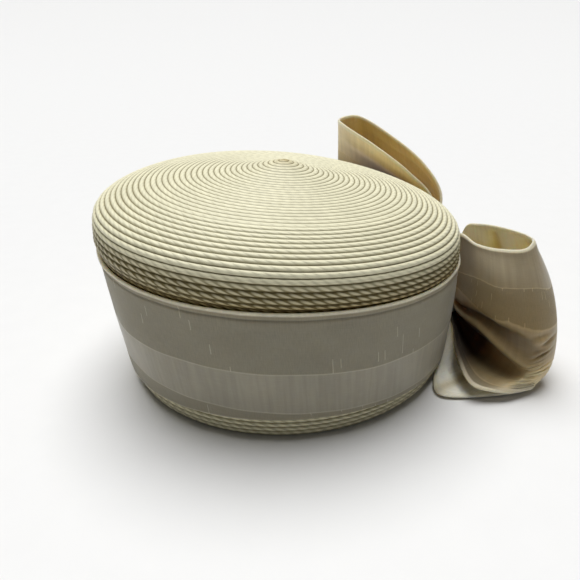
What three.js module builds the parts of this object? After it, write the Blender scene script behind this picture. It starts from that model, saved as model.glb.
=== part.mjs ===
// Pillbox hat of sewn straw braid with a striped silk band and a two-loop silk bow.
// Millimetres, +Z up. The hat rests on the lower edge of its side at z = 0. Its front faces -Y, and
// the bow sits on its right side, a little toward the back. The shapes are worked out about the
// middle of the lower edge, and the origin is the middle of the whole box, at its bottom.
import * as THREE from "three";

// Straw body
const baseRadius = 90;
const rimRadius = 97.7;
const sideHeight = 76.6;
const strawThickness = 1.8;
const braidPitch = 2.9;
const braidRelief = 0.6;
const sideSwell = 3.2;
const baseOval = 0.025;
const rimOval = 0.018;
const ovalTurn = 48;
const rimWaviness = 0.0215;
const wavinessTurn = -19.5;
const rimDrop = 9;
const rimDropTurn = -13.3;
const crownShift = new THREE.Vector2(-5, -2.6);
const tipShift = new THREE.Vector2(3.1, 6.1);
const leftDent = 1.1;
const leftDentTurn = -168;
const leftDentWidth = 40;

// Silk band
const bandThickness = 1.2;
const bandSeat = 1;
const bandTop = 72.6;
const bandTopDrop = 6.6;
const bandLowFront = 12.5;
const bandLowSide = 3;
const bandLowTurn = -95;
const touchingGap = 0.3;

// Bow
const silkThickness = 1.6;
const ribbonWidth = 80;
const frontReach = 100;
const rearReach = 90;
const loopSpread = 50;
const wrapTurn = 20;
const wrapHeight = 48;
const wrapDepth = 18;
const wrapLength = 20;
const wrapThickness = 2;
const wrapFoot = 16.5;
const gatherHeight = 25;
const pleatDepth = 3.5;

// Fineness of the faceted shapes
const hatSegments = 44;
const topFineness = [
  { fromShare: 0.66, divider: 1 },
  { fromShare: 0.33, divider: 2 },
  { fromShare: 0, divider: 4 },
];
const frontStrip = { along: 36, across: 13 };
const rearStrip = { along: 24, across: 7 };
const wrapSegments = 16;
const tangentStep = 0.004;

// Swell of the side between lower edge and rim: up is the share of the side's height, out the share
// of sideSwell.
const sideShape = [
  { up: 0, out: 0 },
  { up: 0.05, out: 0.7 },
  { up: 0.11, out: 1 },
  { up: 0.33, out: 1 },
  { up: 0.52, out: 0.92 },
  { up: 0.72, out: 0.58 },
  { up: 0.83, out: 0.3 },
  { up: 1, out: 0 },
];

// Slope of the upper surface: arc is the share of rimRadius along the surface from the top of the
// side, slope the angle above level in degrees.
const topShape = [
  { arc: 0, slope: 84.7 },
  { arc: 0.055, slope: 86.5 },
  { arc: 0.112, slope: 75.5 },
  { arc: 0.158, slope: 44.5 },
  { arc: 0.21, slope: 29 },
  { arc: 0.311, slope: 19 },
  { arc: 0.505, slope: 9.7 },
  { arc: 0.765, slope: 5.2 },
  { arc: 1.065, slope: 14 },
  { arc: 1.255, slope: 9.5 },
];

// Guide lines of the loops between the two gathered ends, out to the far fold and back. Each row is
// a place on the line: along is the share of the loop's reach from the wrap, aside the share of
// loopSpread away from the hat, and up the share of ribbonWidth above cloth that lies on the floor.
const frontLoop = {
  upperEdge: [
    { along: 0.22, aside: -0.07, up: 0.802 },
    { along: 0.47, aside: -0.18, up: 0.834 },
    { along: 0.67, aside: -0.21, up: 0.89 },
    { along: 0.81, aside: -0.14, up: 0.952 },
    { along: 0.8, aside: -0.05, up: 0.996 },
    { along: 0.74, aside: -0.01, up: 0.996 },
    { along: 0.51, aside: 0.03, up: 0.959 },
    { along: 0.29, aside: 0.11, up: 0.89 },
    { along: 0.17, aside: 0.12, up: 0.83 },
  ],
  upperLine: [
    { along: 0.26, aside: -0.08, up: 0.583 },
    { along: 0.6, aside: -0.3, up: 0.675 },
    { along: 0.81, aside: -0.34, up: 0.681 },
    { along: 0.92, aside: -0.17, up: 0.692 },
    { along: 0.89, aside: 0.14, up: 0.641 },
    { along: 0.7, aside: 0.36, up: 0.69 },
    { along: 0.44, aside: 0.32, up: 0.665 },
    { along: 0.27, aside: 0.23, up: 0.64 },
    { along: 0.16, aside: 0.16, up: 0.64 },
  ],
  ridge: [
    { along: 0.33, aside: -0.14, up: 0.265 },
    { along: 0.64, aside: -0.32, up: 0.288 },
    { along: 0.87, aside: -0.32, up: 0.268 },
    { along: 0.98, aside: -0.14, up: 0.282 },
    { along: 0.91, aside: 0.29, up: 0.334 },
    { along: 0.76, aside: 0.41, up: 0.365 },
    { along: 0.56, aside: 0.3, up: 0.227 },
    { along: 0.37, aside: 0.2, up: 0.265 },
    { along: 0.21, aside: 0.14, up: 0.34 },
  ],
  trough: [
    { along: 0.27, aside: -0.04, up: 0.178 },
    { along: 0.6, aside: -0.26, up: 0.109 },
    { along: 0.83, aside: -0.31, up: 0.115 },
    { along: 1, aside: -0.22, up: 0.138 },
    { along: 0.94, aside: 0.22, up: 0.12 },
    { along: 0.87, aside: 0.13, up: 0.09 },
    { along: 0.76, aside: -0.21, up: 0.034 },
    { along: 0.6, aside: -0.29, up: 0.04 },
    { along: 0.38, aside: -0.11, up: 0.103 },
  ],
  lowerEdge: [
    { along: 0.37, aside: -0.23, up: 0.14 },
    { along: 0.71, aside: -0.65, up: 0.169 },
    { along: 0.93, aside: -0.76, up: 0.102 },
    { along: 0.99, aside: -0.49, up: 0.057 },
    { along: 1.003, aside: -0.12, up: 0.031 },
    { along: 0.978, aside: -0.355, up: 0.012 },
    { along: 0.85, aside: -1.03, up: 0.011 },
    { along: 0.71, aside: -0.92, up: 0.012 },
    { along: 0.49, aside: -0.5, up: 0.015 },
  ],
};
const rearLoop = {
  upperEdge: [
    { along: 0.21, aside: 0.08, up: 0.92 },
    { along: 0.29, aside: -0.22, up: 1.14 },
    { along: 0.52, aside: -0.51, up: 1.32 },
    { along: 0.9, aside: -0.64, up: 1.43 },
    { along: 1.11, aside: -0.55, up: 1.45 },
    { along: 1.2, aside: -0.17, up: 1.45 },
    { along: 0.77, aside: 0, up: 1.33 },
    { along: 0.42, aside: 0.17, up: 1.15 },
    { along: 0.25, aside: 0.26, up: 0.95 },
  ],
  middleLine: [
    { along: 0.33, aside: 0.15, up: 0.64 },
    { along: 0.44, aside: -0.01, up: 0.77 },
    { along: 0.72, aside: -0.25, up: 0.87 },
    { along: 0.99, aside: -0.45, up: 0.94 },
    { along: 1.15, aside: -0.5, up: 0.96 },
    { along: 1.19, aside: -0.11, up: 0.96 },
    { along: 0.82, aside: 0.2, up: 0.89 },
    { along: 0.52, aside: 0.36, up: 0.79 },
    { along: 0.33, aside: 0.34, up: 0.67 },
  ],
  lowerEdge: [
    { along: 0.31, aside: 0.12, up: 0.265 },
    { along: 0.48, aside: 0.04, up: 0.277 },
    { along: 0.77, aside: -0.17, up: 0.29 },
    { along: 1.02, aside: -0.37, up: 0.302 },
    { along: 1.16, aside: -0.45, up: 0.315 },
    { along: 1.21, aside: -0.1, up: 0.315 },
    { along: 0.83, aside: 0.25, up: 0.302 },
    { along: 0.56, aside: 0.41, up: 0.29 },
    { along: 0.35, aside: 0.38, up: 0.265 },
  ],
};

// Folds pressed into the ribbon: across is the place over its width, width the fold's share of it,
// depth the share of pleatDepth, and farShare what is left of the folds at the loop's far fold.
const frontPleats = {
  farShare: 0.1,
  folds: [
    { across: 0.22, width: 0.08, depth: 0.23 },
    { across: 0.4, width: 0.055, depth: 1 },
    { across: 0.5, width: 0.05, depth: -0.57 },
  ],
};
const rearPleats = {
  farShare: 0,
  folds: [
    { across: 0.35, width: 0.09, depth: 0.43 },
    { across: 0.55, width: 0.09, depth: -0.43 },
    { across: 0.75, width: 0.09, depth: 0.43 },
  ],
};

const radians = THREE.MathUtils.degToRad;
const mix = THREE.MathUtils.lerp;
const ease = THREE.MathUtils.smoothstep;

// Smooth value between the rows of a table, by a cubic with the rows' own slopes.
function tableValue(rows, keyName, valueName, key) {
  const last = rows.length - 1;
  let index = 0;
  while (index < last - 1 && key > rows[index + 1][keyName]) {
    index += 1;
  }
  const slopeAt = (i) => {
    const before = rows[Math.max(i - 1, 0)];
    const after = rows[Math.min(i + 1, last)];
    return (after[valueName] - before[valueName]) / (after[keyName] - before[keyName]);
  };
  const start = rows[index];
  const end = rows[index + 1];
  const span = end[keyName] - start[keyName];
  const t = THREE.MathUtils.clamp((key - start[keyName]) / span, 0, 1);
  const back = 1 - t;
  const values = (1 + 2 * t) * back ** 2 * start[valueName] + (3 - 2 * t) * t ** 2 * end[valueName];
  const slopes = t * back ** 2 * slopeAt(index) - back * t ** 2 * slopeAt(index + 1);
  return values + span * slopes;
}

// Closed body from rings of points. Each ring is an array of Vector3, the first and last may be a
// single point, and a ring may have half as many points as its neighbour.
function ringBody(rings, closed = false) {
  const positions = [];
  const starts = rings.map((ring) => {
    const start = positions.length / 3;
    ring.forEach((point) => positions.push(point.x, point.y, point.z));
    return start;
  });
  const triangles = [];
  const stitch = (a, b) => {
    const countA = rings[a].length;
    const countB = rings[b].length;
    const steps = Math.max(countA, countB);
    for (let i = 0; i < steps; i += 1) {
      const a0 = starts[a] + Math.floor((i * countA) / steps);
      const a1 = starts[a] + (Math.floor(((i + 1) * countA) / steps) % countA);
      const b0 = starts[b] + Math.floor((i * countB) / steps);
      const b1 = starts[b] + (Math.floor(((i + 1) * countB) / steps) % countB);
      if (a0 !== a1) {
        triangles.push(a0, a1, b0);
      }
      if (b0 !== b1) {
        triangles.push(a1, b1, b0);
      }
    }
  };
  for (let i = 0; i + 1 < rings.length; i += 1) {
    stitch(i, i + 1);
  }
  if (closed) {
    stitch(rings.length - 1, 0);
  }
  return outwardGeometry(positions, triangles);
}

// Geometry whose faces point outward: the triangles are turned over when the volume is negative.
function outwardGeometry(positions, triangles) {
  const corner = (i) => new THREE.Vector3().fromArray(positions, 3 * i);
  let volume = 0;
  for (let i = 0; i < triangles.length; i += 3) {
    const [a, b, c] = [triangles[i], triangles[i + 1], triangles[i + 2]].map(corner);
    volume += a.dot(b.cross(c));
  }
  const ordered = volume < 0 ? [...triangles].reverse() : triangles;
  const geometry = new THREE.BufferGeometry();
  geometry.setAttribute("position", new THREE.Float32BufferAttribute(positions, 3));
  geometry.setIndex(ordered);
  geometry.computeVertexNormals();
  return geometry;
}

// Height by which the sewn body is lower on its right than at its middle, at a turn about the axis.
function tiltHeight(turn) {
  return -rimDrop * Math.cos(turn - radians(rimDropTurn));
}

// Outer radius of the side before the band's seat, at a share of its height.
function sideRadius(up) {
  const swell = sideSwell * tableValue(sideShape, "up", "out", up);
  return mix(baseRadius, rimRadius, Math.min(up, 1)) + swell;
}

// Outer radius of the straw, drawn in where the band lies.
function strawRadius(up) {
  const seatFade = { lowEnd: 0.1, highStart: 0.97 };
  const drawnIn = ease(up, 0, seatFade.lowEnd) * (1 - ease(up, seatFade.highStart, 1));
  return sideRadius(up) - bandSeat * drawnIn;
}

// Shallow dent on the left of the side, deepest at two thirds of its height.
function dentDepth(turn, lift) {
  const fromDent = turn - radians(leftDentTurn);
  const away = Math.atan2(Math.sin(fromDent), Math.cos(fromDent));
  const deepest = 2 / 3;
  const byHeight = (lift ** 2 * (1 - lift)) / (deepest ** 2 * (1 - deepest));
  return leftDent * Math.exp(-((away / radians(leftDentWidth)) ** 2)) * byHeight;
}

// Point of the hat at a turn about the axis. lift is the share of the body's shift, oval and tilt
// that applies, and inward the share of the way from the rim to the tip.
function hatPoint(turn, radius, height, lift, inward = 0) {
  const oval = mix(baseOval, rimOval, lift) * Math.cos(2 * (turn - radians(ovalTurn)));
  const waviness = rimWaviness * lift * Math.cos(3 * (turn - radians(wavinessTurn)));
  const stretched = radius * (1 + oval + waviness) - dentDepth(turn, lift);
  return new THREE.Vector3(
    stretched * Math.cos(turn) + crownShift.x * lift + tipShift.x * inward,
    stretched * Math.sin(turn) + crownShift.y * lift + tipShift.y * inward,
    height + tiltHeight(turn) * lift * (1 - inward),
  );
}

function ringOf(segments, pointAt) {
  return Array.from({ length: segments }, (_, i) => pointAt((2 * Math.PI * i) / segments));
}

function sideRing(up, radius) {
  return ringOf(hatSegments, (turn) => hatPoint(turn, radius, sideHeight * up, up));
}

function topRing(radius, height) {
  const share = radius / rimRadius;
  const { divider } = topFineness.find((row) => share >= row.fromShare);
  return ringOf(hatSegments / divider, (turn) => hatPoint(turn, radius, height, 1, 1 - share));
}

// Places along the upper surface, one for each step along it, from the side's top to the tip, set
// back from the outer face by depth(index).
function topPlaces(step, depth) {
  const fineSteps = 8;
  const fine = step / fineSteps;
  const smallest = 0.8 * step;
  const places = [];
  let radius = rimRadius;
  let height = sideHeight;
  for (let i = 0; radius > fine; i += 1) {
    const slope = radians(tableValue(topShape, "arc", "slope", (i * fine) / rimRadius));
    if (i % fineSteps === 0 && radius > smallest) {
      const inset = depth(places.length);
      places.push({
        radius: radius - inset * Math.sin(slope),
        height: height - inset * Math.cos(slope),
      });
    }
    radius -= fine * Math.cos(slope);
    height += fine * Math.sin(slope);
  }
  return { places, tipHeight: height };
}

// Straw body: outer face with a ridge for each braid row that shows, flat lower edge, inner face.
function braidCrownGeometry() {
  const halfRow = braidPitch / 2;
  const rowShare = braidPitch / sideHeight;
  const groove = (index) => (index % 2 === 0 ? braidRelief : 0);
  const sideRows = { low: 3, high: 2 };
  const outer = [];
  for (let i = 0; i <= 2 * sideRows.low; i += 1) {
    const up = (i * rowShare) / 2;
    outer.push(sideRing(up, strawRadius(up) - groove(i + 1) * ease(i, 0, 1)));
  }
  const plainFrom = sideRows.low * rowShare;
  const plainTo = 1 - sideRows.high * rowShare;
  const plainRings = 8;
  for (let i = 1; i < plainRings; i += 1) {
    const up = mix(plainFrom, plainTo, i / plainRings);
    outer.push(sideRing(up, strawRadius(up)));
  }
  for (let i = 2 * sideRows.high; i > 0; i -= 1) {
    const up = 1 - (i * rowShare) / 2;
    outer.push(sideRing(up, strawRadius(up) - groove(i)));
  }
  const top = topPlaces(halfRow, groove);
  top.places.forEach((place) => outer.push(topRing(place.radius, place.height)));
  outer.push([hatPoint(0, 0, top.tipHeight, 1, 1)]);

  const inner = [];
  const innerSideRings = 6;
  for (let i = 0; i < innerSideRings; i += 1) {
    const up = i / innerSideRings;
    inner.push(sideRing(up, strawRadius(up) - strawThickness - braidRelief * ease(up, 0, 0.05)));
  }
  const innerDepth = strawThickness + braidRelief;
  const under = topPlaces(4 * braidPitch, () => innerDepth);
  under.places.forEach((place) => inner.push(topRing(place.radius, place.height)));
  inner.push([hatPoint(0, 0, top.tipHeight - innerDepth, 1, 1)]);
  return ringBody([...inner.reverse(), ...outer]);
}

// Height of the band's upper and lower edge at a turn about the axis.
function bandTopHeight(turn) {
  return bandTop - bandTopDrop * Math.cos(turn - radians(rimDropTurn));
}

function bandLowHeight(turn) {
  const towardFront = (1 + Math.cos(turn - radians(bandLowTurn))) / 2;
  return mix(bandLowSide, bandLowFront, towardFront ** 2);
}

function bandPoint(turn, share, offset) {
  const height = mix(bandLowHeight(turn), bandTopHeight(turn), share);
  const up = height / (sideHeight + tiltHeight(turn));
  const point = hatPoint(turn, strawRadius(up) + offset, 0, up);
  point.z = height;
  return point;
}

function silkBandGeometry() {
  const inside = touchingGap;
  const outside = touchingGap + bandThickness;
  const shares = [0.12, 0.26, 0.4, 0.54, 0.68, 0.83, 0.97];
  const section = [
    { share: 0, offset: inside },
    { share: 0, offset: outside },
    ...shares.map((share) => ({ share, offset: outside })),
    { share: 1, offset: (inside + outside) / 2 },
    ...[...shares].reverse().map((share) => ({ share, offset: inside })),
  ];
  const rings = section.map(({ share, offset }) => {
    return ringOf(hatSegments, (turn) => bandPoint(turn, share, offset));
  });
  return ringBody(rings, true);
}

// Frame of the bow: the wrap's centre on the side of the hat, the way out from the hat, and the way
// along the side toward the front.
const outward = new THREE.Vector3(Math.cos(radians(wrapTurn)), Math.sin(radians(wrapTurn)), 0);
const frontward = new THREE.Vector3(outward.y, -outward.x, 0);
const wrapMiddle = wrapFoot + wrapHeight / 2;

function bandFaceRadius(height) {
  const turn = radians(wrapTurn);
  const up = height / (sideHeight + tiltHeight(turn));
  return hatPoint(turn, strawRadius(up) + touchingGap + bandThickness, 0, up).dot(outward);
}

const wrapReach = bandFaceRadius(wrapMiddle) + touchingGap + wrapDepth / 2;
const wrapCentre = outward.clone().multiplyScalar(wrapReach);

function bowPoint(along, aside, height) {
  return wrapCentre
    .clone()
    .addScaledVector(frontward, along)
    .addScaledVector(outward, aside)
    .setZ(height);
}

// Gathered end of a guide line inside the wrap, from a quarter of its length to just past its mouth.
// The layer lies against the wrap's inner wall, which draws in toward the layer's edges. side is -1
// for the layer toward the hat and 1 for the layer away from it.
function gatheredEnd(lineShare, direction, side) {
  const roundness = Math.cos(Math.PI / wrapSegments);
  const gatherShare = gatherHeight / (wrapHeight - 2 * wrapThickness);
  const wallReach = (wrapDepth / 2 - wrapThickness) * roundness * Math.sqrt(1 - gatherShare ** 2);
  const aside = side * (wallReach - touchingGap - silkThickness / 2);
  const height = wrapMiddle + gatherHeight * (0.5 - lineShare);
  return [0.25, 0.54].map((share) => bowPoint(direction * share * wrapLength, aside, height));
}

// Guide lines of a loop as curves that run from the wrap round the far fold and back.
function guideCurves(lines, reach, direction) {
  return lines.map((rows, index) => {
    const lineShare = index / (lines.length - 1);
    const points = rows.map(({ along, aside, up }) => {
      const height = silkThickness / 2 + up * ribbonWidth;
      return bowPoint(direction * along * reach, aside * loopSpread, height);
    });
    const start = gatheredEnd(lineShare, direction, -1);
    const end = gatheredEnd(lineShare, direction, 1).reverse();
    return new THREE.CatmullRomCurve3([...start, ...points, ...end], false, "centripetal");
  });
}

// Point on a ribbon between guide lines, at a share of the way round the loop and across the width.
function ribbonPoint(curves, round, across) {
  const lines = curves.map((curve) => curve.getPoint(round));
  return new THREE.CatmullRomCurve3(lines, false, "catmullrom", 0.5).getPoint(across);
}

// Closed wall round a surface, with a rounded-off thickness: two faces a thickness apart and their
// four edges.
function sheetBody(surface, counts, thickness) {
  const { along, across } = counts;
  const sides = [-1, 1].map((side) => {
    const grid = [];
    for (let i = 0; i <= along; i += 1) {
      const row = [];
      for (let j = 0; j <= across; j += 1) {
        const u = i / along;
        const v = j / across;
        row.push(surface(u, v).addScaledVector(surfaceNormal(surface, u, v), (side * thickness) / 2));
      }
      grid.push(row);
    }
    return grid;
  });
  const rings = [];
  for (let i = 0; i <= along; i += 1) {
    rings.push([...sides[0][i], ...[...sides[1][i]].reverse()]);
  }
  const positions = rings.flat().flatMap((point) => [point.x, point.y, point.z]);
  const count = 2 * (across + 1);
  const triangles = [];
  for (let i = 0; i < along; i += 1) {
    for (let k = 0; k < count; k += 1) {
      const a = i * count + k;
      const b = i * count + ((k + 1) % count);
      triangles.push(a, b, a + count, b, b + count, a + count);
    }
  }
  const lastRing = along * count;
  for (let j = 0; j < across; j += 1) {
    const far = count - 1 - j;
    triangles.push(j, far, j + 1, j + 1, far, far - 1);
    triangles.push(lastRing + j, lastRing + j + 1, lastRing + far);
    triangles.push(lastRing + j + 1, lastRing + far - 1, lastRing + far);
  }
  return outwardGeometry(positions, triangles);
}

function surfaceNormal(surface, u, v) {
  const after = (value) => Math.min(value + tangentStep, 1);
  const before = (value) => Math.max(value - tangentStep, 0);
  const alongTangent = surface(after(u), v).sub(surface(before(u), v));
  const acrossTangent = surface(u, after(v)).sub(surface(u, before(v)));
  return alongTangent.cross(acrossTangent).normalize();
}

// Surface of a ribbon with its folds, which are deepest at the wrap and fade toward the far fold.
function pleatedSurface(curves, pleats) {
  const smooth = (u, v) => ribbonPoint(curves, u, v);
  const farFade = { start: 0.05, end: 0.35 };
  const wrapFade = { start: 0.65, end: 0.8 };
  return (u, v) => {
    const nearWrap = Math.abs(2 * u - 1);
    const farShare = mix(pleats.farShare, 1, ease(nearWrap, farFade.start, farFade.end));
    const wrapShare = 1 - ease(nearWrap, wrapFade.start, wrapFade.end);
    const fold = ({ across, width, depth }) => depth * Math.exp(-(((v - across) / width) ** 2));
    const depth = pleats.folds.map(fold).reduce((sum, value) => sum + value, 0);
    const offset = pleatDepth * depth * farShare * wrapShare;
    return smooth(u, v).addScaledVector(surfaceNormal(smooth, u, v), offset);
  };
}

function frontBowLoopGeometry() {
  const { upperEdge, upperLine, ridge, trough, lowerEdge } = frontLoop;
  const curves = guideCurves([upperEdge, upperLine, ridge, trough, lowerEdge], frontReach, 1);
  return sheetBody(pleatedSurface(curves, frontPleats), frontStrip, silkThickness);
}

function rearBowLoopGeometry() {
  const curves = guideCurves(Object.values(rearLoop), rearReach, -1);
  return sheetBody(pleatedSurface(curves, rearPleats), rearStrip, silkThickness);
}

// Wrap round the pinched middle of the bow: an oval sleeve along the side of the hat.
function bowWrapGeometry() {
  const sleeve = [
    { along: -0.5, inset: wrapThickness / 2 },
    { along: -0.45, inset: 0 },
    { along: 0, inset: 0 },
    { along: 0.45, inset: 0 },
    { along: 0.5, inset: wrapThickness / 2 },
    { along: 0.35, inset: wrapThickness },
    { along: -0.35, inset: wrapThickness },
  ];
  const rings = sleeve.map(({ along, inset }) => {
    return ringOf(wrapSegments, (turn) => {
      const aside = (wrapDepth / 2 - inset) * Math.cos(turn);
      const height = wrapMiddle + (wrapHeight / 2 - inset) * Math.sin(turn);
      return bowPoint(along * wrapLength, aside, height);
    });
  });
  return ringBody(rings, true);
}

function namedMesh(name, geometry, colour, roughness) {
  const material = new THREE.MeshStandardMaterial({ color: colour, roughness, metalness: 0 });
  const mesh = new THREE.Mesh(geometry, material);
  mesh.name = name;
  return mesh;
}

const strawColour = 0xd9cfa6;
const silkColour = 0xd2c8a4;
const hat = new THREE.Group();
hat.add(
  namedMesh("braid_crown", braidCrownGeometry(), strawColour, 0.55),
  namedMesh("silk_band", silkBandGeometry(), silkColour, 0.45),
  namedMesh("front_bow_loop", frontBowLoopGeometry(), silkColour, 0.45),
  namedMesh("rear_bow_loop", rearBowLoopGeometry(), silkColour, 0.45),
  namedMesh("bow_wrap", bowWrapGeometry(), silkColour, 0.45),
);

const wholeBox = new THREE.Box3().setFromObject(hat);
const boxMiddle = wholeBox.getCenter(new THREE.Vector3());
hat.children.forEach((mesh) => {
  mesh.geometry.translate(-boxMiddle.x, -boxMiddle.y, -wholeBox.min.z);
});

export default hat;
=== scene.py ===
"""Pillbox hat: sewn straw braid, a striped silk band and a silk bow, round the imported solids."""

import math

import bmesh
import bpy
import numpy as np
from bpy.props import FloatProperty, FloatVectorProperty, PointerProperty
from mathutils import Matrix, Vector


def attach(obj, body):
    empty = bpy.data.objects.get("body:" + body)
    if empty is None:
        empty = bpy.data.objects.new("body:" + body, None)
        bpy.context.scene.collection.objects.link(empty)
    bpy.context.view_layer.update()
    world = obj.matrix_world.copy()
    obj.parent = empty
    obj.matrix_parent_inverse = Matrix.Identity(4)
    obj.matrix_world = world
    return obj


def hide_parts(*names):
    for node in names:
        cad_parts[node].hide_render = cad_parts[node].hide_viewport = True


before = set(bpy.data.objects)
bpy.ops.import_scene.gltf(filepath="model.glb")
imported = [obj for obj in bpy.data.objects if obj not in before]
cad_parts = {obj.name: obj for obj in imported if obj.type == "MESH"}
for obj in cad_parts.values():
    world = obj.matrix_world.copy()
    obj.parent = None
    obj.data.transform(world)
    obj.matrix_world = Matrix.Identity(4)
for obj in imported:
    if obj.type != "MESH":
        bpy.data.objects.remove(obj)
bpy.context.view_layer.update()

bl_info = {
    "name": "Straw Pillbox Hat",
    "version": (1, 0, 0),
    "blender": (4, 5, 0),
    "location": "3D View > Sidebar > Hat",
    "description": "Sewn straw pillbox hat with a striped silk band and bow",
    "category": "Add Mesh",
}

# The hat's form, in metres and degrees, as its solids have it.
BASE_RADIUS = 0.090
RIM_RADIUS = 0.0977
SIDE_HEIGHT = 0.0766
STRAW_THICKNESS = 0.0018
BRAID_RELIEF = 0.0006
SIDE_SWELL = 0.0032
BASE_OVAL = 0.025
RIM_OVAL = 0.018
OVAL_TURN = 48
RIM_WAVINESS = 0.0215
WAVINESS_TURN = -19.5
RIM_DROP = 0.009
RIM_DROP_TURN = -13.3
CROWN_SHIFT = (-0.005, -0.0026)
TIP_SHIFT = (0.0031, 0.0061)
LEFT_DENT = 0.0011
LEFT_DENT_TURN = -168
LEFT_DENT_WIDTH = 40
BAND_THICKNESS = 0.0012
BAND_SEAT = 0.001
BAND_TOP = 0.0726
BAND_TOP_DROP = 0.0066
BAND_LOW_FRONT = 0.0125
BAND_LOW_SIDE = 0.003
BAND_LOW_TURN = -95
TOUCHING_GAP = 0.0003
SILK_THICKNESS = 0.0016
RIBBON_WIDTH = 0.080
FRONT_REACH = 0.100
REAR_REACH = 0.090
LOOP_SPREAD = 0.050
WRAP_TURN = 20
WRAP_HEIGHT = 0.048
WRAP_DEPTH = 0.018
WRAP_LENGTH = 0.020
WRAP_THICKNESS = 0.002
WRAP_FOOT = 0.0165
GATHER_HEIGHT = 0.025
WRAP_SIDES = 16

# Share of the side's height, share of the swell.
SIDE_SHAPE = np.array([
    (0, 0),
    (0.05, 0.7),
    (0.11, 1),
    (0.33, 1),
    (0.52, 0.92),
    (0.72, 0.58),
    (0.83, 0.3),
    (1, 0),
])
# Distance along the upper surface as a share of the rim's radius, slope above level in degrees.
TOP_SHAPE = np.array([
    (0, 84.7),
    (0.055, 86.5),
    (0.112, 75.5),
    (0.158, 44.5),
    (0.21, 29),
    (0.311, 19),
    (0.505, 9.7),
    (0.765, 5.2),
    (1.065, 14),
    (1.255, 9.5),
])
# Guide lines of the loops, as shares: along the reach, aside of the wrap, up the ribbon's width.
FRONT_LOOP = np.array([
    [(0.22, -0.07, 0.802), (0.47, -0.18, 0.834), (0.67, -0.21, 0.89), (0.81, -0.14, 0.952),
     (0.8, -0.05, 0.996), (0.74, -0.01, 0.996), (0.51, 0.03, 0.959), (0.29, 0.11, 0.89),
     (0.17, 0.12, 0.83)],
    [(0.26, -0.08, 0.583), (0.6, -0.3, 0.675), (0.81, -0.34, 0.681), (0.92, -0.17, 0.692),
     (0.89, 0.14, 0.641), (0.7, 0.36, 0.69), (0.44, 0.32, 0.665), (0.27, 0.23, 0.64),
     (0.16, 0.16, 0.64)],
    [(0.33, -0.14, 0.265), (0.64, -0.32, 0.288), (0.87, -0.32, 0.268), (0.98, -0.14, 0.282),
     (0.91, 0.29, 0.334), (0.76, 0.41, 0.365), (0.56, 0.3, 0.227), (0.37, 0.2, 0.265),
     (0.21, 0.14, 0.34)],
    [(0.27, -0.04, 0.178), (0.6, -0.26, 0.109), (0.83, -0.31, 0.115), (1, -0.22, 0.138),
     (0.94, 0.22, 0.12), (0.87, 0.13, 0.09), (0.76, -0.21, 0.034), (0.6, -0.29, 0.04),
     (0.38, -0.11, 0.103)],
    [(0.37, -0.23, 0.14), (0.71, -0.65, 0.169), (0.93, -0.76, 0.102), (0.99, -0.49, 0.057),
     (1.003, -0.12, 0.031), (0.978, -0.355, 0.012), (0.85, -1.03, 0.011), (0.71, -0.92, 0.012),
     (0.49, -0.5, 0.015)],
])
REAR_LOOP = np.array([
    [(0.21, 0.08, 0.92), (0.29, -0.22, 1.14), (0.52, -0.51, 1.32), (0.9, -0.64, 1.43),
     (1.11, -0.55, 1.45), (1.2, -0.17, 1.45), (0.77, 0, 1.33), (0.42, 0.17, 1.15),
     (0.25, 0.26, 0.95)],
    [(0.33, 0.15, 0.64), (0.44, -0.01, 0.77), (0.72, -0.25, 0.87), (0.99, -0.45, 0.94),
     (1.15, -0.5, 0.96), (1.19, -0.11, 0.96), (0.82, 0.2, 0.89), (0.52, 0.36, 0.79),
     (0.33, 0.34, 0.67)],
    [(0.31, 0.12, 0.265), (0.48, 0.04, 0.277), (0.77, -0.17, 0.29), (1.02, -0.37, 0.302),
     (1.16, -0.45, 0.315), (1.21, -0.1, 0.315), (0.83, 0.25, 0.302), (0.56, 0.41, 0.29),
     (0.35, 0.38, 0.265)],
])

# The ribbon's stripes, in metres from its upper edge: where each satin stripe starts and ends.
SATIN_STRIPES = ((0.0, 0.024), (0.050, 0.0724))
# The ribbon's upper edge is folded in under the band by this much.
BAND_FOLD = 0.0186


# Shapes shared by the pieces


def smoothstep(value, low, high):
    t = np.clip((value - low) / (high - low), 0, 1)
    return t * t * (3 - 2 * t)


def bump_at(value, middle, width):
    return np.exp(-(((value - middle) / width) ** 2))


def table_value(rows, key):
    """Smooth value between the rows of a table, by a cubic with the rows' own slopes."""
    keys, values = rows[:, 0], rows[:, 1]
    last = len(rows) - 1
    before = np.maximum(np.arange(last + 1) - 1, 0)
    after = np.minimum(np.arange(last + 1) + 1, last)
    slopes = (values[after] - values[before]) / (keys[after] - keys[before])
    index = np.clip(np.searchsorted(keys, key, side="left") - 1, 0, last - 1)
    span = keys[index + 1] - keys[index]
    t = np.clip((key - keys[index]) / span, 0, 1)
    back = 1 - t
    level = (1 + 2 * t) * back**2 * values[index] + (3 - 2 * t) * t**2 * values[index + 1]
    return level + span * (t * back**2 * slopes[index] - back * t**2 * slopes[index + 1])


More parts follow.
